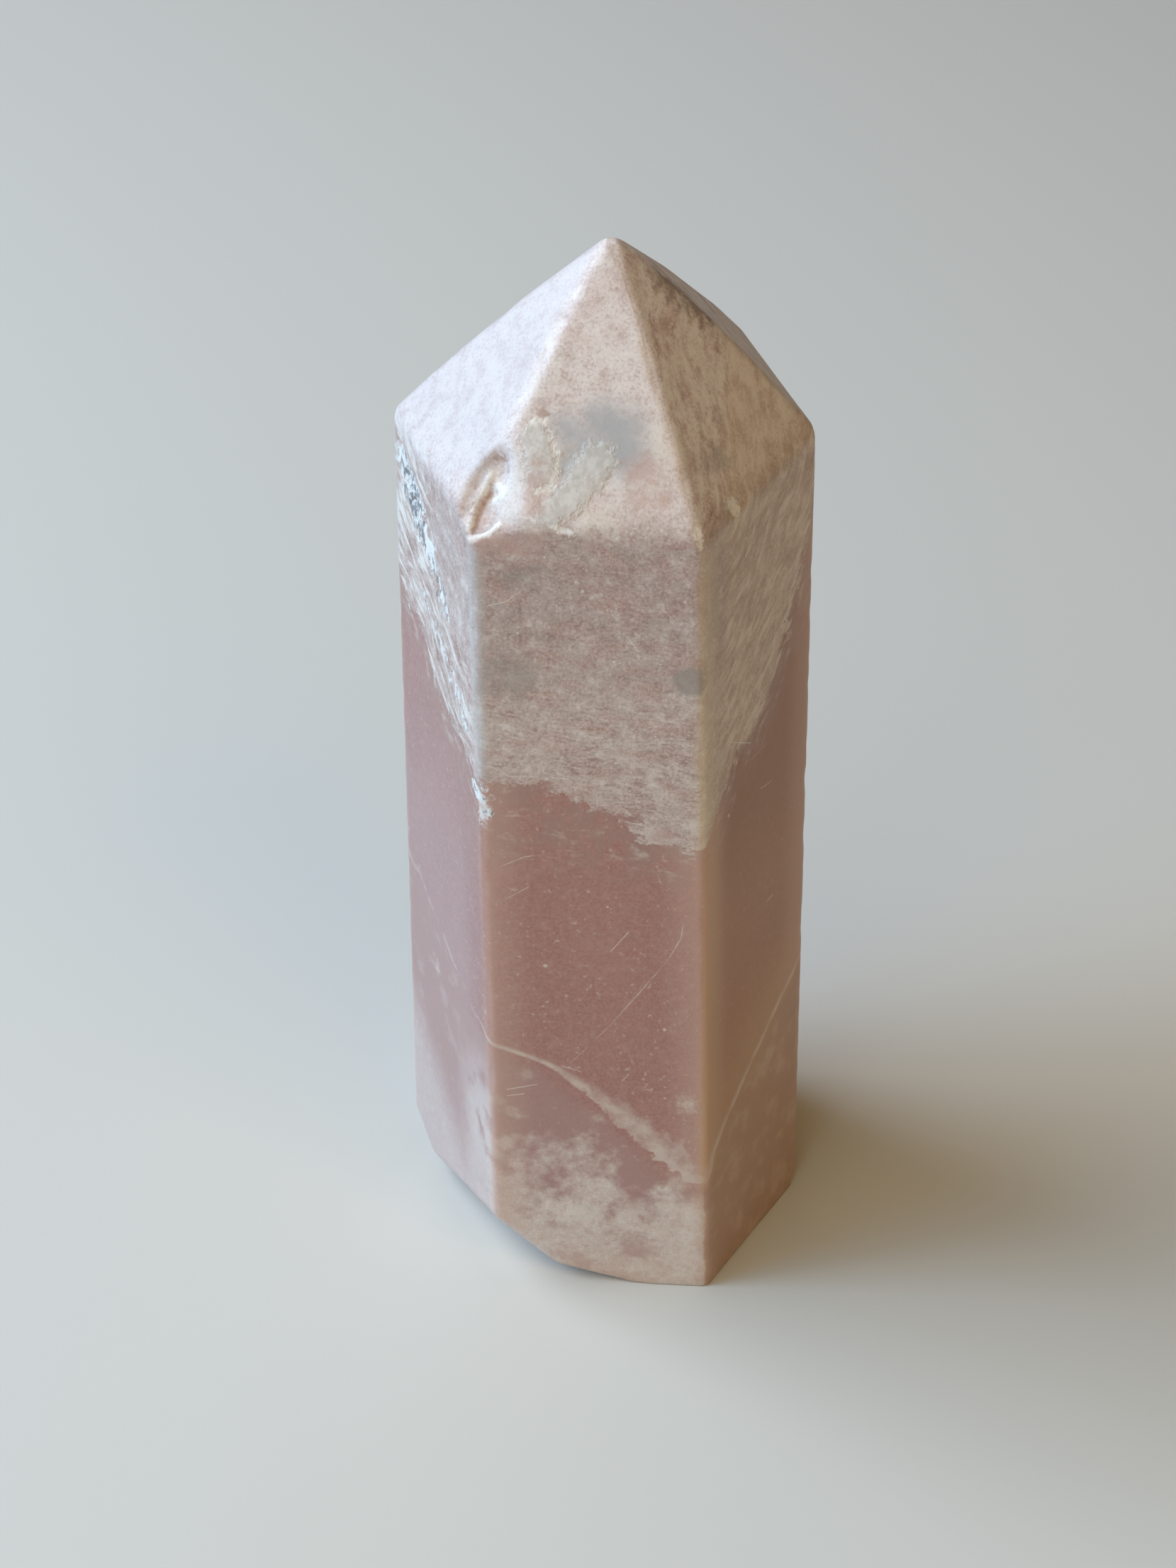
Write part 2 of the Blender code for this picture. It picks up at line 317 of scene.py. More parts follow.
# Small relief: lines of points, how wide, and how high it stands or, below 0, how deep it goes
RELIEF = [
    ([(-7.8, -10.7, 80.3), (-8.5, -10.6, 80.4), (-9.3, -10.7, 79.5), (-10.0, -11.1, 78.3),
      (-10.7, -11.9, 77.3), (-11.1, -12.7, 76.5)], 0.36, -0.16),
    ([(-9.0, -10.8, 78.9), (-9.6, -11.4, 77.8), (-10.2, -12.1, 76.8), (-10.6, -13.5, 75.8)], 0.3, 0.22),
    ([(-8.8, -11.4, 77.8), (-9.5, -11.8, 77.0), (-10.0, -13.0, 76.1), (-10.2, -13.9, 75.6)], 0.3, -0.14),
    ([(-8.4, -11.4, 78.2), (-7.9, -12.1, 78.2), (-8.6, -12.0, 77.3)], 0.3, 0.22),
    ([(-10.5, -14.2, 75.3), (-9.2, -14.2, 75.8), (-8.3, -14.0, 76.4)], 0.3, 0.14),
    ([(-5.5, -11.6, 81.0)], 1.5, 0.10),
    ([(-2.4, -11.4, 81.4), (-3.7, -12.1, 80.5), (-4.0, -12.9, 79.3), (-4.4, -13.2, 78.9)], 0.25, -0.12),
    ([(-3.3, -14.8, 76.5), (-2.6, -14.4, 77.1), (-1.7, -14.0, 77.7), (-1.2, -13.5, 78.5),
      (-0.5, -12.9, 79.3), (0.4, -12.6, 79.8)], 0.25, -0.14),
    ([(-4.2, -14.7, 76.7), (-3.1, -14.9, 76.3)], 0.3, -0.10),
    ([(6.7, -14.9, 76.5), (7.0, -15.5, 75.4)], 0.35, -0.08),
    ([(-15.8, -2.8, 74.2), (-15.5, -3.4, 73.4), (-15.2, -4.1, 72.2)], 0.4, -0.40),
    ([(-13.7, -7.5, 67.5), (-13.5, -7.8, 67.1)], 0.3, -0.18),
    ([(-15.0, -4.6, 71.4), (-14.2, -6.2, 69.6), (-13.2, -8.4, 67.3)], 0.5, -0.12),
    ([(-10.4, -14.1, 52.0), (-10.0, -14.6, 50.6), (-10.0, -14.6, 49.6)], 0.4, -0.14),
    ([(-9.4, -14.7, 45.2), (-9.4, -14.7, 44.4)], 0.35, -0.12),
    ([(16.0, -2.6, 76.0)], 0.5, -0.12),
    ([(9.3, -15.0, 9.8)], 0.5, -0.14),
    ([(-11.8, -11.2, 8.4), (-10.2, -13.4, 7.0)], 0.6, -0.12),
]
MARK_RANGE = 6.0              # distances to marks are capped at this
FOOT_DEPTH = 6.4              # how far below the vein the cream of the foot begins
# Two values of x, and how much further down it begins at the second than at the first
FOOT_SHIFTS = [(2.0, 8.0, -5.2), (-9.5, -13.0, 8.6), (8.2, 9.5, 32.0)]


def seam_field(places, seam):
    """Height of each place above a gently bent sheet through the seam's points, and the seam's
    other values there. Far from the points, the sheet is flat."""
    points, values = seam[:, :3], seam[:, 3:]
    middle = points.mean(0)
    normal = np.linalg.svd(points - middle)[2][2]
    normal = normal * np.sign(normal[2])
    away = ((places[:, None] - points[None]) ** 2).sum(-1)
    weight = np.exp(-away / (2 * SEAM_REACH**2))
    total = weight.sum(1) + SEAM_FADE
    bend = weight @ ((points - middle) @ normal) / total
    near = weight @ values / total[:, None]
    return (places - middle) @ normal - bend, near


def distance_to_line(places, points):
    """Distance from each place to a line through points, or to a single point."""
    points = np.array(points)
    if len(points) == 1:
        return np.linalg.norm(places - points[0], axis=-1)
    nearest = np.full(places.shape[:-1], np.inf)
    for start, end in zip(points[:-1], points[1:]):
        run = end - start
        along = np.clip((places - start) @ run / (run @ run), 0.0, 1.0)
        away = np.linalg.norm(places - start - along[..., None] * run, axis=-1)
        nearest = np.minimum(nearest, away)
    return nearest


def smooth_step(value, low, high):
    t = np.clip((value - low) / (high - low), 0.0, 1.0)
    return t * t * (3 - 2 * t)


def wander(places, size, seed):
    """Smooth noise of about -1 to 1 with bumps of a size."""
    shift = Vector((seed, 0, 0))
    flat = [noise.noise(Vector(place) / size + shift) for place in places.reshape(-1, 3)]
    return np.array(flat).reshape(places.shape[:-1])


def add_relief(grid, edges):
    """Wear of the ground edges, faintly uneven facets and the small hollows and ledges."""
    normal = grid_normals(grid)
    wear = np.maximum(wander(grid, *WEAR_NOISE), 0) * np.exp(-((edges / EDGE_REACH) ** 2))
    height = -EDGE_WEAR * wear - UNEVENNESS * (0.5 + 0.5 * wander(grid, *UNEVEN_NOISE))
    for points, width, size in RELIEF:
        away = distance_to_line(grid, points)
        near = away < RELIEF_REACH * width
        lumpy = np.zeros_like(away)
        lumpy[near] = 1 + LUMPINESS * wander(grid[near], *LUMP_NOISE)
        height += size * lumpy * np.exp(-((away / width) ** 2))
    height[:BASE_ROWS] = 0.0
    return grid + normal * height[..., None]


def stone_values(places, edges):
    """What the material reads at each point of the mesh."""
    upper, _ = seam_field(places, np.array(UPPER_SEAM))
    vein, thickness = seam_field(places, np.array(VEIN))
    foot = -vein - FOOT_DEPTH
    for low, high, shift in FOOT_SHIFTS:
        foot -= shift * smooth_step(places[:, 0], low, high)
    width = thickness[:, 0]
    values = {"edge": edges, "upper": upper, "vein": vein, "vein_width": width, "foot": foot}
    for kind, marks in MARKS.items():
        away = [distance_to_line(places, points) - reach for points, reach in marks]
        values[kind] = np.minimum(np.min(away, axis=0), MARK_RANGE)
    return values


def make_stone():
    """The stone's fine mesh, with the values that its material reads from each point."""
    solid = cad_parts[NODE]
    base, shoulder, tip = corners_of(solid)
    foot, rows, edges = ideal_grid(base, shoulder, tip)
    grid = add_relief(ease(cast_onto(solid, rows), ROUNDING), edges)
    centre = cast_onto(solid, foot[None])[0]
    places = np.vstack([grid.reshape(-1, 3), centre, tip])
    count, around = grid.shape[:2]
    bottom, top = count * around, count * around + 1

    faces = []
    for r in range(count - 1):
        for c in range(around):
            d = (c + 1) % around
            faces.append((r * around + c, r * around + d, (r + 1) * around + d, (r + 1) * around + c))
    for c in range(around):
        d = (c + 1) % around
        faces.append((bottom, d, c))
        faces.append((top, (count - 1) * around + c, (count - 1) * around + d))

    mesh = bpy.data.meshes.new("stone")
    mesh.from_pydata((places * MM).tolist(), [], faces)
    mesh.update()
    values = stone_values(places, np.append(edges.reshape(-1), [MARK_RANGE, 0.0]))
    for name, numbers in values.items():
        attribute = mesh.attributes.new(name, "FLOAT", "POINT")
        attribute.data.foreach_set("value", numbers.astype(np.float32))
    mesh.shade_smooth()
    stone = bpy.data.objects.new("stone", mesh)
    bpy.context.scene.collection.objects.link(stone)
    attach(stone, "root")
    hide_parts(NODE)
    return stone


# Material

# Axes of the stone's bedding: along the strike, down the dip and square to the layers
BED_NORMAL = Vector((0.03, -0.70, 0.71)).normalized()
STRIKE = Vector((0.0, 0.0, 1.0)).cross(BED_NORMAL).normalized()
DIP = BED_NORMAL.cross(STRIKE)
BED_WAVES = 3.0               # how far the layers wander
# Level directions outwards from the two ridges beside the front facet of the point
LEFT_OF_RIDGE = (-0.795, 0.608, 0.0)
RIGHT_OF_RIDGE = (0.91, 0.41, 0.0)

# Colours are linear
OPAL_DEEP = (0.395, 0.185, 0.163, 1.0)
OPAL = (0.43, 0.212, 0.182, 1.0)
OPAL_PALE = (0.525, 0.315, 0.27, 1.0)
MAUVE = (0.45, 0.285, 0.26, 1.0)
UMBER = (0.405, 0.26, 0.225, 1.0)
PLUM = (0.37, 0.215, 0.20, 1.0)
OCHRE = (0.62, 0.41, 0.24, 1.0)
AMBER = (0.45, 0.245, 0.135, 1.0)
PEACH = (0.64, 0.43, 0.35, 1.0)
MATRIX_LOW = (0.62, 0.505, 0.46, 1.0)
MATRIX_HIGH = (0.51, 0.40, 0.375, 1.0)
# painted light: the matrix on the facets of the point, painted lighter than on the shaft because these facets
# face up to the light
MATRIX_LIT_TOP = (0.76, 0.67, 0.65, 1.0)
CREAM = (0.70, 0.59, 0.52, 1.0)
TAN = (0.66, 0.55, 0.485, 1.0)
STRAW = (0.80, 0.69, 0.52, 1.0)
# painted reflection: the bluish-white sheen of the window on the left facet of the point
LEFT_CAP_SHEEN = (0.585, 0.555, 0.595, 1.0)
LILAC = (0.56, 0.42, 0.41, 1.0)
ROSE = (0.56, 0.37, 0.325, 1.0)
WHITE = (0.88, 0.85, 0.82, 1.0)
GREY = (0.40, 0.41, 0.44, 1.0)
SMOKE = (0.34, 0.295, 0.27, 1.0)
MILKY = (0.80, 0.73, 0.66, 1.0)
PLATE = (0.575, 0.55, 0.53, 1.0)
SLAB = (0.72, 0.70, 0.685, 1.0)
# white glassy fibres, partly painted glints of light on them
SILVER_AND_GLINT = (0.82, 0.82, 0.82, 1.0)
CHALK = (0.82, 0.76, 0.71, 1.0)
# brown spots, and painted shade in the hollow and under rims
BROWN_AND_SHADE = (0.36, 0.20, 0.15, 1.0)
# painted shade of the rear right facet of the point near the tip
REAR_SHADE = (0.24, 0.165, 0.12, 1.0)
# painted shade inside the crack and the pits among the silvery fibres
PIT_SHADE = (0.16, 0.17, 0.19, 1.0)
# What darker felt, the left side's opal and the right side's upper opal multiply the colour by
SHADE = (0.73, 0.645, 0.62, 1.0)
COOL = (0.87, 0.90, 0.95, 1.0)
DEEP = (0.80, 0.76, 0.68, 1.0)

# Where one look passes into the next: the value at which it begins, and the one at which it is complete.
# Places from left to right, in x
LEFT_OPAL_X = (-9.8, -10.8)
LEFT_LILAC_X = (-9.8, -12.5)
LEFT_FIBRES_X = (-10.3, -11.3)
LEFT_SMOOTH_X = (-14.6, -12.6)
LEFT_FACET_X = (-9.8, -10.3)
LEFT_FOOT_X = (-9.2, -11.0)
LEFT_FROST_X = (-13.5, -10.5)
LEFT_FROST_END_X = (-9.4, -10.0)
LEFT_VEIN_X = (-11.2, -9.8)
FRONT_EDGES_X = (-10.2, -9.6)
FRONT_LEFT_X = (2.0, 0.0)
RIGHT_OPAL_X = (8.0, 9.5)
RIGHT_OCHRE_X = (8.0, 9.2)
RIGHT_FIBRES_X = (8.3, 9.6)
RIGHT_TINT_X = (8.2, 9.5)
RIGHT_FOOT_X = (8.3, 9.5)
RIGHT_EDGE_X = (6.4, 7.8)
RIGHT_EDGE_END_X = (14.0, 12.0)
RIGHT_EDGE_OPAL_X = (7.4, 8.4)
ACROSS_X = (9.0, -9.0)
NOT_RIGHT_X = (8.5, 7.5)
# Heights, in z
UPPER_OPAL_Z = (36.0, 50.0)
LEFT_LILAC_Z = (60.0, 38.0)
LEFT_SMOOTH_Z = (61.0, 67.0)
LEFT_FROST_Z = (27.0, 15.0)
LEFT_CAP_Z = (76.0, 81.0)
RIGHT_CAP_Z = (75.0, 77.0)
POINT_Z = (75.8, 78.0)
PALER_ROSE_Z = (75.0, 80.0)
SHAFT_Z = (76.0, 74.0)
SHAFT_EDGES_Z = (75.5, 74.5)
# Distances beyond a ridge, above the upper seam, above the vein and below the top of the foot
BEYOND_RIDGE = (-0.3, 1.2)
IN_MATRIX = (-0.35, 0.25)
HIGH_IN_MATRIX = (4.0, 14.0)
LOW_IN_MATRIX = (14.0, 4.0)
UMBER_BELOW_SEAM = (-5.0, -0.5)
CREAM_BELOW_SEAM = (-3.5, -0.2)
ABOVE_VEIN = (-1.0, 0.3)
NEAR_ABOVE_VEIN = (9.0, 0.3)
BELOW_VEIN = (0.0, -1.5)
IN_FOOT = (-3.5, 4.0)

# How each kind of mark is painted: how soft and how ragged its rim is, its colour and its strength
MARK_LOOKS = {
    "milky": (1.2, 2.4, MILKY, 0.65),
    "haze": (0.9, 1.9, SMOKE, 0.5),
    "smoke": (0.3, 0.6, SMOKE, 0.75),
    # painted shade near the tip at the rear
    "rear_shade": (0.9, 2.6, REAR_SHADE, 0.75),
    "grey": (1.5, 1.0, GREY, 0.85),
    "plate": (0.35, 1.3, PLATE, 0.75),
    "rose": (0.8, 2.0, ROSE, 0.6),
    "pale": (0.14, 0.5, WHITE, 0.8),
    # brown spots and painted shade
    "brown_and_shade": (0.14, 0.35, BROWN_AND_SHADE, 0.6),
    # white glassy fibres with painted glints
    "silver_and_glint": (0.4, 2.6, SILVER_AND_GLINT, 0.95),
    # painted shade in the crack and pits
    "pit_shade": (0.2, 1.0, PIT_SHADE, 0.85),
}

# Tiny pale grains, and painted glints of light on single fibres: where, and their radius
GRAINS_AND_GLINTS = [
    ((-2.5, -15.0, 72.0), 0.14), ((-2.0, -15.1, 71.2), 0.14), ((-5.1, -15.1, 34.9), 0.18),
    ((4.8, -15.8, 28.7), 0.15), ((0.0, -15.4, 41.2), 0.11), ((9.8, -12.4, 48.2), 0.16),
    ((4.9, -15.9, 21.3), 0.12), ((-4.9, -14.9, 74.1), 0.11), ((0.4, -15.3, 64.9), 0.12),
    ((4.0, -15.6, 64.8), 0.11), ((0.6, -15.4, 55.4), 0.12), ((5.8, -15.7, 70.6), 0.11),
    ((-7.0, -14.8, 67.2), 0.11), ((3.7, -15.6, 58.1), 0.11),
]
GRAIN_AND_GLINT_RIM = (1.4, 0.6)        # where a grain or painted glint fades in, over its radius
# Scratches, and painted glints of light along fibres, as lines of points
SCRATCHES_AND_GLINTS = [
    [(6.2, -15.9, 40.3), (6.0, -15.8, 38.3), (5.0, -15.8, 36.1), (2.6, -15.6, 32.4), (0.1, -15.4, 28.7),
     (-3.1, -15.3, 24.6)],
    [(-8.7, -14.7, 44.8), (-6.7, -14.9, 45.9), (-4.6, -15.0, 46.4)],
    [(-8.8, -14.7, 41.2), (-6.4, -14.9, 42.9)],
    [(-7.7, -14.8, 35.8), (-7.1, -14.9, 35.7)],
    [(4.0, -15.7, 44.7), (4.3, -15.7, 43.8)],
    [(1.7, -15.5, 38.7), (0.3, -15.4, 36.7)],
    [(-8.4, -14.9, 21.5), (-5.9, -15.1, 22.2)],
    [(-8.4, -14.9, 20.8), (-7.0, -15.0, 21.1)],
    [(1.3, -15.6, 23.0), (1.8, -15.6, 23.7)],
    [(-3.7, -15.2, 24.3), (-2.2, -15.3, 23.8)],
    [(11.6, -9.3, 51.5), (13.0, -7.0, 51.5)],
    [(12.6, -7.8, 47.6), (13.5, -6.3, 47.3)],
    [(9.9, -11.9, 55.0), (11.5, -9.3, 53.2)],
    [(13.4, -7.0, 35.4), (14.0, -6.0, 35.4)],
    [(-9.3, -14.7, 54.2), (-7.7, -14.8, 53.7), (-5.5, -15.0, 53.8), (-3.2, -15.1, 53.7)],
    [(1.4, -15.4, 67.3), (2.3, -15.4, 65.9)],
    [(-10.6, -14.1, 68.6), (-9.2, -14.6, 69.6), (-7.9, -14.7, 70.0), (-6.8, -14.8, 70.9)],
]
SCRATCH_AND_GLINT_WIDTH = 0.05
SCRATCH_AND_GLINT_RIM = (1.6, 0.4)      # where a line fades in, over its width

ROUGHNESS = 0.36
# What the matrix, its grain and the glassy places add to the roughness
MATRIX_ROUGHER = 0.07
GRAIN_ROUGHER = 0.12
GLASSY_ROUGHER = -0.12
BUMP_STRENGTH = 0.5
BUMP_DEPTH = 0.08
FIBRE_HEIGHT = 0.7            # shares of the bump's depth
GRAIN_HEIGHT = 0.3
PLATE_HEIGHT = 1.2
OPAL_IOR = 1.46
SCATTERING = 0.5              # how much of the light the opal scatters under its surface, and how far
SCATTER_COLOUR = (1.0, 0.5, 0.35)
SCATTER_DEPTH = 1.3

# Sockets of a Mix node for colours
MIX_FACTOR, MIX_FIRST, MIX_SECOND, MIX_RESULT = 0, 6, 7, 2


class Shader:
    """Short calls that build a material's nodes. Each gives the new node's output."""

    def __init__(self, name):
        self.material = bpy.data.materials.new(name)
        self.material.use_nodes = True
        self.tree = self.material.node_tree
        self.surface = self.tree.nodes["Principled BSDF"]

    def feed(self, socket, value):
        if isinstance(value, bpy.types.NodeSocket):
            self.tree.links.new(value, socket)
        else:
            socket.default_value = value

    def node(self, kind, inputs, **settings):
        made = self.tree.nodes.new("ShaderNode" + kind)
        for name, value in settings.items():
            setattr(made, name, value)
        for socket, value in inputs.items():
            self.feed(made.inputs[socket], value)
        return made

    def math(self, operation, *values):
        return self.node("Math", dict(enumerate(values)), operation=operation).outputs[0]

    def vector(self, operation, *values):
        made = self.node("VectorMath", dict(enumerate(values)), operation=operation)
        scalar = operation in ("DOT_PRODUCT", "DISTANCE")
        return made.outputs["Value" if scalar else "Vector"]

    def scaled(self, vector, amount):
        return self.node("VectorMath", {0: vector, "Scale": amount}, operation="SCALE").outputs[0]

    def noise(self, where, scale=1.0, detail=2.0, roughness=0.5, output="Fac"):
        values = {"Vector": where, "Scale": scale, "Detail": detail, "Roughness": roughness}
        return self.node("TexNoise", values).outputs[output]

    def fade(self, value, low, high, most=1.0):
        """0 up to low and most from high on, or the other way round, with a smooth step between."""
        values = {"Value": value, "From Min": low, "From Max": high, "To Max": most}
        return self.node("MapRange", values, interpolation_type="SMOOTHSTEP").outputs[0]

    def mix(self, factor, first, second, blend="MIX"):
        made = self.node("Mix", {}, data_type="RGBA", blend_type=blend)
        self.feed(made.inputs[MIX_FACTOR], factor)
        self.feed(made.inputs[MIX_FIRST], first)
        self.feed(made.inputs[MIX_SECOND], second)
        return made.outputs[MIX_RESULT]

    def attribute(self, name):
        return self.node("Attribute", {}, attribute_name=name).outputs["Fac"]

    def chain(self, operation, values):
        result = values[0]
        for value in values[1:]:
            result = self.math(operation, result, value)
        return result

    def add(self, *values):
        return self.chain("ADD", values)

    def times(self, *values):
        return self.chain("MULTIPLY", values)

    def most(self, values):
        return self.chain("MAXIMUM", values)

    def least(self, values):
        return self.chain("MINIMUM", values)

    def centred(self, value, size):
        """A noise of 0 to 1 turned into one of about -size to +size."""
        return self.math("MULTIPLY_ADD", value, 2.0 * size, -size)

    def edge_of(self, kind, softness, raggedness, grain):
        """1 inside the marks of a kind and 0 outside them, with a ragged rim."""
        away = self.add(self.attribute(kind), self.centred(grain, raggedness))
        return self.fade(away, softness, -softness)


def spot(s, where, centre, radius):
    """1 inside a ball and 0 outside it."""
    return s.fade(s.vector("DISTANCE", where, centre), *(radius * rim for rim in GRAIN_AND_GLINT_RIM))


def distance_to_piece(s, where, start, end):
    """Distance from a straight piece of a line of scratches and painted glints."""
    start, run = Vector(start), Vector(end) - Vector(start)
    offset = s.vector("SUBTRACT", where, start)
    along = s.vector("DOT_PRODUCT", offset, run / run.length_squared)
    along = s.math("MINIMUM", s.math("MAXIMUM", along, 0.0), 1.0)
    return s.vector("DISTANCE", offset, s.scaled(tuple(run), along))


def bed_place(s, place):
    """Places counted along the strike, down the dip and across the layers, with wavy layers."""
    axes = {i: s.vector("DOT_PRODUCT", place, axis) for i, axis in enumerate((STRIKE, DIP, BED_NORMAL))}
    bed = s.node("CombineXYZ", axes).outputs[0]
    waves = s.vector("SUBTRACT", s.noise(place, 0.15, 1.0, 0.5, "Color"), (0.5, 0.5, 0.5))
    return s.vector("ADD", bed, s.scaled(waves, BED_WAVES))


def in_bed(s, bed, *sizes):
    """Noise with flat lumps of these sizes along the strike, down the dip and across the layers."""
    return s.noise(s.vector("DIVIDE", bed, sizes), 1.0, 4.0, 0.62)


def surface_values(s):
    """What the looks depend on, at each place of the stone's surface."""
    at = SimpleNamespace()
    at.place = s.scaled(s.node("TexCoord", {}).outputs["Object"], 1 / MM)
    at.bed = bed_place(s, at.place)
    parts = s.node("SeparateXYZ", {0: at.place}).outputs
    at.x, at.z = parts["X"], parts["Z"]
    at.grain = s.noise(at.place, 4.2, 3.0, 0.65)
    at.ragged = in_bed(s, at.bed, 1.8, 1.8, 0.7)
    at.clots = s.noise(at.place, 0.5, 4.0, 0.6)
    at.edge = s.attribute("edge")
    at.vein = s.attribute("vein")
    at.upper = s.add(s.attribute("upper"), s.centred(at.ragged, 1.8), s.centred(at.grain, 0.5))
    at.is_matrix = s.fade(at.upper, *IN_MATRIX)
    at.right_edge = s.times(
        s.fade(at.x, *RIGHT_EDGE_X), s.fade(at.x, *RIGHT_EDGE_END_X), s.fade(at.z, *SHAFT_Z)
    )
    return at


def opal_colour(s, at):
    """Pink opal, amber on the right, cool on the left, and umber and cloudy next to the matrix."""
    colour = s.mix(s.fade(s.noise(at.place, 0.12, 2.0), 0.35, 0.7), OPAL_DEEP, OPAL)
    colour = s.mix(s.fade(s.noise(at.place, 1.1, 4.0, 0.65), 0.42, 0.8, 0.65), colour, OPAL_PALE)
    colour = s.mix(s.fade(at.grain, 0.32, 0.7, 0.6), colour, OPAL_PALE)
    colour = s.mix(s.fade(s.noise(at.place, 2.2, 1.0), 0.66, 0.76, 0.45), colour, CREAM)
    colour = s.mix(s.fade(at.x, *RIGHT_OPAL_X, 0.65), colour, AMBER)
    upper_right = s.times(s.fade(at.x, *RIGHT_OPAL_X), s.fade(at.z, *UPPER_OPAL_Z))
    colour = s.mix(upper_right, colour, DEEP, "MULTIPLY")
    colour = s.mix(s.fade(at.x, *LEFT_OPAL_X), colour, COOL, "MULTIPLY")
    lower_left = s.times(s.fade(at.x, *LEFT_LILAC_X, 0.32), s.fade(at.z, *LEFT_LILAC_Z))
    colour = s.mix(lower_left, colour, LILAC)
    umber = s.times(s.fade(at.upper, *UMBER_BELOW_SEAM), s.fade(at.clots, 0.34, 0.58, 0.75))
    colour = s.mix(umber, colour, UMBER)
    cloudy = s.times(s.fade(at.upper, *CREAM_BELOW_SEAM), s.fade(at.ragged, 0.52, 0.66, 0.45))
    return s.mix(cloudy, colour, CREAM)


def foot_colour(s, at, colour):
    """The opal below the vein: mauve, and clouded with cream towards the base."""
    clouds = s.noise(at.place, 0.42, 4.0, 0.56)
    flakes = s.noise(at.place, 1.5, 4.0, 0.68)
    below = s.fade(at.vein, *BELOW_VEIN, 0.7)
    on_left = s.fade(at.x, *LEFT_FOOT_X)
    on_right = s.times(s.fade(at.x, *RIGHT_FOOT_X), below)
    colour = s.mix(below, colour, MAUVE)
    colour = s.mix(s.times(below, s.fade(clouds, 0.52, 0.72, 0.35)), colour, CREAM)

    wander = s.times(s.centred(clouds, 12.0), s.fade(on_left, 1.0, 0.0))
    depth = s.add(s.attribute("foot"), wander, s.centred(at.grain, 0.3), s.centred(flakes, 1.2))
    pale = s.mix(s.fade(s.noise(at.place, 0.33, 3.0, 0.55), 0.36, 0.62), TAN, CREAM)
    pale = s.mix(s.fade(flakes, 0.50, 0.30, 0.7), pale, ROSE)
    pale = s.mix(s.fade(flakes, 0.52, 0.70, 0.4), pale, WHITE)
    pale = s.mix(s.fade(at.grain, 0.45, 0.75, 0.5), pale, WHITE)
    pale = s.mix(s.times(on_left, 0.6), pale, LILAC)

    colour = s.mix(s.times(on_right, s.fade(clouds, 0.62, 0.38)), colour, PLUM)
    colour = s.mix(s.times(on_right, s.fade(clouds, 0.5, 0.66, 0.5)), colour, TAN)
    frost = s.times(
        s.fade(at.x, *LEFT_FROST_X), s.fade(at.x, *LEFT_FROST_END_X), s.fade(at.z, *LEFT_FROST_Z), 0.6
    )
    colour = s.mix(s.times(frost, s.fade(clouds, 0.3, 0.5)), colour, CHALK)
    return s.mix(s.fade(depth, *IN_FOOT, 0.92), colour, pale)


def opal_edges(s, at, colour):
    """Ochre above the vein on the right; paler opal along the edges, partly from wear and partly a painted
    highlight and glow of light through the thin edges; and a painted warm ochre glow along the front right
    edge.
    """
    ochre = s.times(s.fade(at.x, *RIGHT_OCHRE_X), s.fade(at.vein, *NEAR_ABOVE_VEIN), 0.45)
    colour = s.mix(ochre, colour, OCHRE)
    # Left of the right facet, everything counts as above the vein
    above = s.fade(s.add(at.vein, s.fade(at.x, *NOT_RIGHT_X, 50.0)), *ABOVE_VEIN)
    # partly wear and partly painted light: paler opal near the front and right edges, a painted highlight and
    # glow of light through the thin edges
    edge_wear_and_glow = s.times(s.fade(at.edge, 4.5, 0.5), s.fade(at.x, *FRONT_EDGES_X), above, 0.45)
    colour = s.mix(edge_wear_and_glow, colour, PEACH)
    # the same paler edges, partly wear and partly a painted highlight
    colour = s.mix(s.fade(at.edge, 1.3, 0.3, 0.22), colour, PEACH)
    # painted light: a warm ochre glow of light through the thin front right edge
    right_edge_glow = s.times(s.fade(at.edge, 3.5, 0.3, 0.7), at.right_edge)
    right_edge_glow = s.times(right_edge_glow, s.fade(at.x, *RIGHT_EDGE_OPAL_X), s.fade(at.vein, *ABOVE_VEIN))
    return s.mix(right_edge_glow, colour, OCHRE)


def add_vein(s, at, colour):
    """The pale vein, with a crisp lower edge. It is fainter and more broken on the left."""
    thick = s.attribute("vein_width")
    jagged = s.times(s.centred(s.noise(at.place, 0.7, 4.0, 0.6), 1.3), s.fade(thick, 0.6, 1.1))
    into = s.add(at.vein, jagged)
    share = s.math("DIVIDE", into, s.add(thick, 0.001))
    in_vein = s.times(s.fade(into, -0.16, 0.06), s.fade(share, 1.3, 0.25))
    strength = s.add(s.fade(at.clots, 0.35, 0.6, 0.5), s.fade(at.x, *LEFT_VEIN_X, 0.35))
    return s.mix(s.times(in_vein, strength), colour, CREAM)


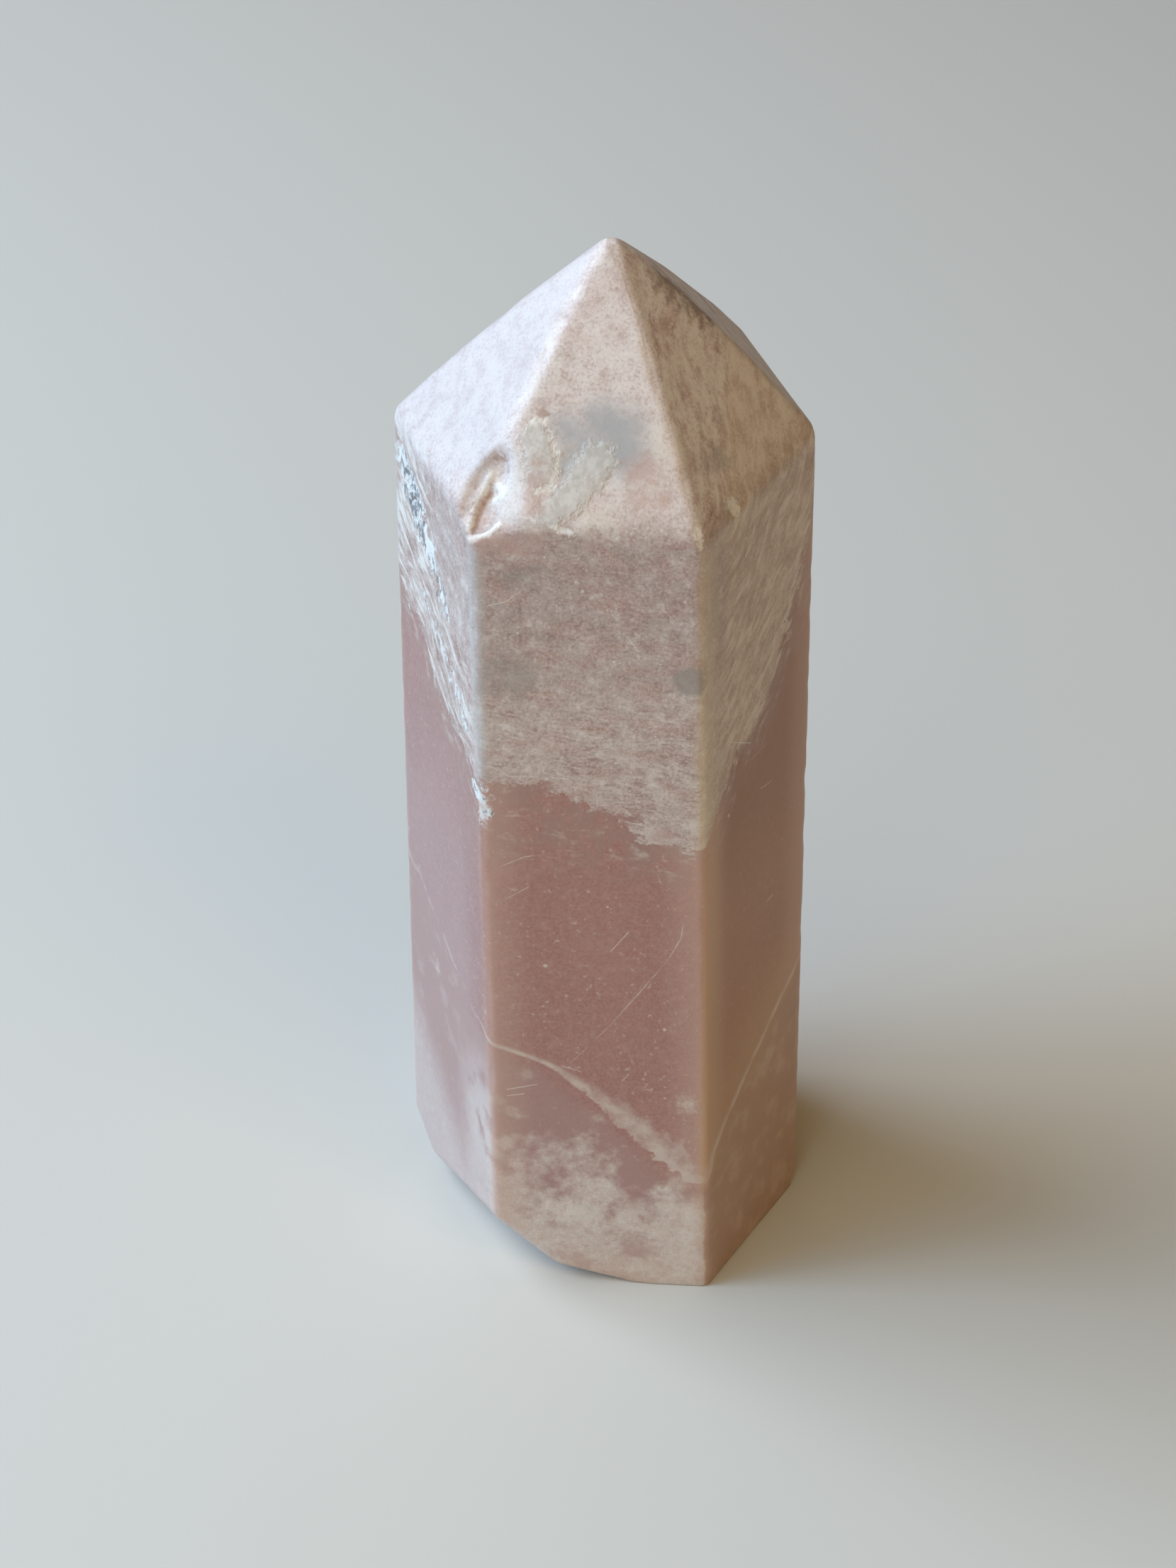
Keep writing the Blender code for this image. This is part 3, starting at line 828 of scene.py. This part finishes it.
def fibre_zones(s, at):
    """How far long fibres show, on the sides, and where the left facet of the point gets a painted
    bluish-white sheen of reflected light, with its texture faded.
    """
    beyond_left = s.fade(s.vector("DOT_PRODUCT", at.place, LEFT_OF_RIDGE), *BEYOND_RIDGE)
    beyond_right = s.fade(s.vector("DOT_PRODUCT", at.place, RIGHT_OF_RIDGE), *BEYOND_RIDGE)
    # where the painted bluish-white sheen lies: the left facet of the point above the shoulder
    left_cap_sheen = s.times(beyond_left, s.fade(at.z, *LEFT_CAP_Z))
    right_cap = s.times(beyond_right, s.fade(at.z, *RIGHT_CAP_Z))
    smooth = s.times(
        s.fade(at.x, *LEFT_SMOOTH_X), s.fade(at.x, *LEFT_FACET_X), s.fade(at.z, *LEFT_SMOOTH_Z), 0.75
    )
    sides = s.most([s.fade(at.x, *RIGHT_FIBRES_X), s.fade(at.x, *LEFT_FIBRES_X), right_cap])
    return s.times(sides, s.fade(left_cap_sheen, 1.0, 0.0), s.fade(smooth, 1.0, 0.0)), left_cap_sheen


def matrix_colour(s, at):
    """Felt of pale fibres, in layers. Gives its colour and its height."""
    streaks = in_bed(s, at.bed, 1.3, 0.62, 0.2)
    strands = in_bed(s, at.bed, 2.4, 2.4, 0.6)
    bands = in_bed(s, at.bed, 4.5, 4.5, 1.1)
    lumps = s.noise(at.place, 0.8, 4.0, 0.7)
    patchy = s.noise(at.place, 0.32, 2.0, 0.5)
    sides, left_cap_sheen = fibre_zones(s, at)
    fibrous = s.most([s.fade(at.upper, *LOW_IN_MATRIX), s.times(sides, 0.5), 0.25])
    fibrous = s.times(fibrous, s.fade(patchy, 0.25, 0.6))

    colour = s.mix(s.fade(at.upper, *HIGH_IN_MATRIX), MATRIX_LOW, MATRIX_HIGH)
    # painted light: the matrix on the facets of the point is painted lighter, as they face up to the light
    colour = s.mix(s.fade(at.z, *POINT_Z), colour, MATRIX_LIT_TOP)
    mauve = s.times(s.fade(patchy, 0.48, 0.68, 0.4), s.fade(at.z, *SHAFT_Z))
    colour = s.mix(mauve, colour, MAUVE)
    rosy = s.times(s.fade(bands, 0.45, 0.68), s.add(s.fade(at.z, *PALER_ROSE_Z, -0.3), 0.6))
    colour = s.mix(rosy, colour, ROSE)

    pale_strands = s.times(sides, s.add(s.fade(at.x, *ACROSS_X, 0.25), 0.65))
    dark = [
        (lumps, 0.54, 0.26, s.fade(left_cap_sheen, 5.0, 0.0, 0.75)),
        (at.grain, 0.54, 0.28, s.fade(left_cap_sheen, 5.0, 0.0, 0.85)),
        (strands, 0.52, 0.36, s.times(sides, 0.8)),
        (streaks, 0.48, 0.34, fibrous),
    ]
    pale = [
        (lumps, 0.50, 0.76, 0.6),
        (at.grain, 0.52, 0.76, 0.5),
        (strands, 0.50, 0.64, pale_strands),
        (streaks, 0.54, 0.72, s.times(fibrous, 0.6)),
    ]
    for tone, blend, layers in ((SHADE, "MULTIPLY", dark), (CHALK, "MIX", pale)):
        for value, low, high, most in layers:
            colour = s.mix(s.times(s.fade(value, low, high), most), colour, tone, blend)
    # painted reflection: a bluish-white sheen on the left facet of the point
    colour = s.mix(s.times(left_cap_sheen, 0.4), colour, LEFT_CAP_SHEEN)
    return matrix_edges(s, at, colour), s.add(s.times(streaks, 0.8), s.times(lumps, 0.6))


def matrix_edges(s, at, colour):
    """The matrix is paler and greyer along its front left edge, partly from wear and partly a painted
    highlight, has a painted warm straw glow along its front right edge, and is straw and amber on the right.
    """
    wear_and_highlight = s.times(s.fade(at.edge, 1.4, 0.3, 0.45), s.fade(at.z, *SHAFT_EDGES_Z), s.fade(at.x, *FRONT_LEFT_X))
    # partly wear and partly painted light: a pale highlight along the front left edge
    colour = s.mix(wear_and_highlight, colour, PLATE)
    # painted light: a warm straw glow of light through the thin front right edge
    colour = s.mix(s.times(s.fade(at.edge, 3.0, 0.3, 0.5), at.right_edge), colour, STRAW)
    colour = s.mix(s.fade(at.x, *RIGHT_TINT_X, 0.25), colour, STRAW)
    return s.mix(s.fade(at.x, *RIGHT_TINT_X, 0.1), colour, AMBER)


def add_marks(s, at, colour):
    """Patches, plates, chips, fibres and grains, and painted light and shade: glints on fibres, a shaded
    streak near the tip at the rear, and shade in the hollow, the crack and the pits and under rims. Gives the
    colour, how glassy the place is and whether it stands up."""
    rough = s.noise(at.place, 1.2, 3.0, 0.65)
    silvery = s.noise(s.vector("MULTIPLY", at.place, (1.6, 1.6, 0.7)), 1.0, 3.0, 0.7)
    for kind, (softness, raggedness, tone, most) in MARK_LOOKS.items():
        mask = s.edge_of(kind, softness, raggedness, rough)
        if kind == "silver_and_glint":
            glassy = mask
            # painted shade of small pits among the silvery fibres
            colour = s.mix(s.times(mask, s.fade(silvery, 0.52, 0.40, 0.8)), colour, PIT_SHADE)
            # painted glints: the white shows only in flecks of the fibres
            mask = s.times(mask, s.fade(silvery, 0.42, 0.52))
        if kind in ("pale", "milky"):
            mask = s.times(mask, s.fade(at.grain, 0.1, 0.55))
        if kind == "plate":
            raised = mask
            tone = s.mix(s.fade(silvery, 0.42, 0.62), tone, SLAB)
        colour = s.mix(s.times(mask, most), colour, tone)
    # pale grains, and painted glints of light on single fibres
    grains_and_glints = s.most([spot(s, at.place, *grain) for grain in GRAINS_AND_GLINTS])
    return s.mix(s.times(grains_and_glints, 0.5), colour, WHITE), glassy, raised


def add_scratches_and_glints(s, at, colour):
    away = [distance_to_piece(s, at.place, *ends) for line in SCRATCHES_AND_GLINTS for ends in zip(line[:-1], line[1:])]
    scratched_and_glinting = s.fade(s.least(away), *(SCRATCH_AND_GLINT_WIDTH * rim for rim in SCRATCH_AND_GLINT_RIM))
    # white scratches, and painted glints of light along fibres
    return s.mix(s.times(scratched_and_glinting, s.fade(at.clots, 0.3, 0.6, 0.5)), colour, WHITE)


def set_finish(s, at, fibres, glassy, raised):
    """Polish, fine relief and the opal's scattering under the surface."""
    rougher = s.add(
        s.times(at.is_matrix, s.centred(at.grain, GRAIN_ROUGHER)), s.times(at.is_matrix, MATRIX_ROUGHER)
    )
    s.feed(s.surface.inputs["Roughness"], s.add(ROUGHNESS, rougher, s.times(glassy, GLASSY_ROUGHER)))
    height = s.add(
        s.times(at.is_matrix, fibres, FIBRE_HEIGHT),
        s.times(at.grain, GRAIN_HEIGHT),
        s.times(raised, PLATE_HEIGHT),
    )
    bump = s.node("Bump", {"Height": height, "Strength": BUMP_STRENGTH, "Distance": BUMP_DEPTH * MM})
    s.feed(s.surface.inputs["Normal"], bump.outputs[0])
    s.feed(s.surface.inputs["Subsurface Weight"], s.fade(at.is_matrix, 1.0, 0.0, SCATTERING))
    s.surface.inputs["IOR"].default_value = OPAL_IOR
    s.surface.inputs["Subsurface Radius"].default_value = SCATTER_COLOUR
    s.surface.inputs["Subsurface Scale"].default_value = SCATTER_DEPTH * MM


def opal_material():
    s = Shader("pink_opal")
    at = surface_values(s)
    opal = opal_edges(s, at, foot_colour(s, at, opal_colour(s, at)))
    opal = add_vein(s, at, opal)
    matrix, fibres = matrix_colour(s, at)
    colour, glassy, raised = add_marks(s, at, s.mix(at.is_matrix, opal, matrix))
    s.feed(s.surface.inputs["Base Color"], add_scratches_and_glints(s, at, colour))
    set_finish(s, at, fibres, glassy, raised)
    return s.material


# Stage: camera, floor and light

CAMERA_PLACE = (-1.58, -240.8, 212.5)
CAMERA_TILT = 35.21            # degrees below the horizontal
LENS = 80.06                   # for a sensor of SENSOR along the picture's longer side
SENSOR = 36.0
FLOOR_SIZE = 12000.0
FLOOR_COLOUR = (0.65, 0.635, 0.60, 1.0)
FLOOR_ROUGHNESS = 0.9
FLOOR_SPECULAR = 0.2
WORLD_LIGHT = (0.5, 0.52, 0.52, 1.0)
WORLD_STRENGTH = 0.11
AIM = (0.0, 0.0, 45.0)         # the lights turn towards this place
LIGHT_DISTANCE = 700.0
# Soft lights: azimuth and rise of the direction that each comes from, width, height, colour, watts
LIGHTS = {
    "window_low": (161.6, 20.0, 500.0, 400.0, (0.25, 0.55, 1.0), 0.5),
    "window_high": (170.0, 48.0, 500.0, 400.0, (0.79, 0.90, 1.0), 4.25),
    "left": (195.0, 25.0, 400.0, 400.0, (0.25, 0.60, 1.0), 2.1),
    "back": (110.0, 30.0, 500.0, 400.0, (1.0, 0.60, 0.25), 0.4),
    "front": (250.0, 30.0, 500.0, 500.0, (1.0, 1.0, 0.86), 0.7),
    "front_left": (235.0, 55.0, 400.0, 400.0, (1.0, 0.97, 0.82), 0.75),
    "front_right": (303.0, 42.0, 350.0, 350.0, (1.0, 0.56, 0.08), 0.92),
}


def make_camera():
    data = bpy.data.cameras.new("camera")
    data.lens = LENS
    data.sensor_width = SENSOR
    data.sensor_fit = "AUTO"
    data.clip_start = 0.01
    data.clip_end = 100.0
    camera = bpy.data.objects.new("camera", data)
    camera.location = Vector(CAMERA_PLACE) * MM
    camera.rotation_euler = (math.radians(90 - CAMERA_TILT), 0, 0)
    bpy.context.scene.collection.objects.link(camera)
    bpy.context.scene.camera = camera


def make_floor():
    mesh = bpy.data.meshes.new("floor")
    half = FLOOR_SIZE * MM / 2
    corners = [(-half, -half, 0), (half, -half, 0), (half, half, 0), (-half, half, 0)]
    mesh.from_pydata(corners, [], [(0, 1, 2, 3)])
    floor = bpy.data.objects.new("floor", mesh)
    bpy.context.scene.collection.objects.link(floor)
    material = bpy.data.materials.new("pale_floor")
    material.use_nodes = True
    surface = material.node_tree.nodes["Principled BSDF"]
    surface.inputs["Base Color"].default_value = FLOOR_COLOUR
    surface.inputs["Roughness"].default_value = FLOOR_ROUGHNESS
    surface.inputs["Specular IOR Level"].default_value = FLOOR_SPECULAR
    mesh.materials.append(material)


def make_lights():
    for name, (azimuth, rise, width, height, colour, power) in LIGHTS.items():
        data = bpy.data.lights.new(name, "AREA")
        data.shape = "RECTANGLE"
        data.size, data.size_y = width * MM, height * MM
        data.color = colour
        data.energy = power
        light = bpy.data.objects.new(name, data)
        towards = Vector(direction(azimuth, rise))
        light.location = (Vector(AIM) + towards * LIGHT_DISTANCE) * MM
        light.rotation_euler = towards.to_track_quat("Z", "Y").to_euler()
        bpy.context.scene.collection.objects.link(light)


def make_world():
    world = bpy.data.worlds.new("studio")
    world.use_nodes = True
    background = world.node_tree.nodes["Background"]
    background.inputs["Color"].default_value = WORLD_LIGHT
    background.inputs["Strength"].default_value = WORLD_STRENGTH
    bpy.context.scene.world = world
    bpy.context.scene.view_settings.view_transform = "Standard"


def main():
    stone = make_stone()
    stone.data.materials.append(opal_material())
    make_camera()
    make_floor()
    make_lights()
    make_world()


main()
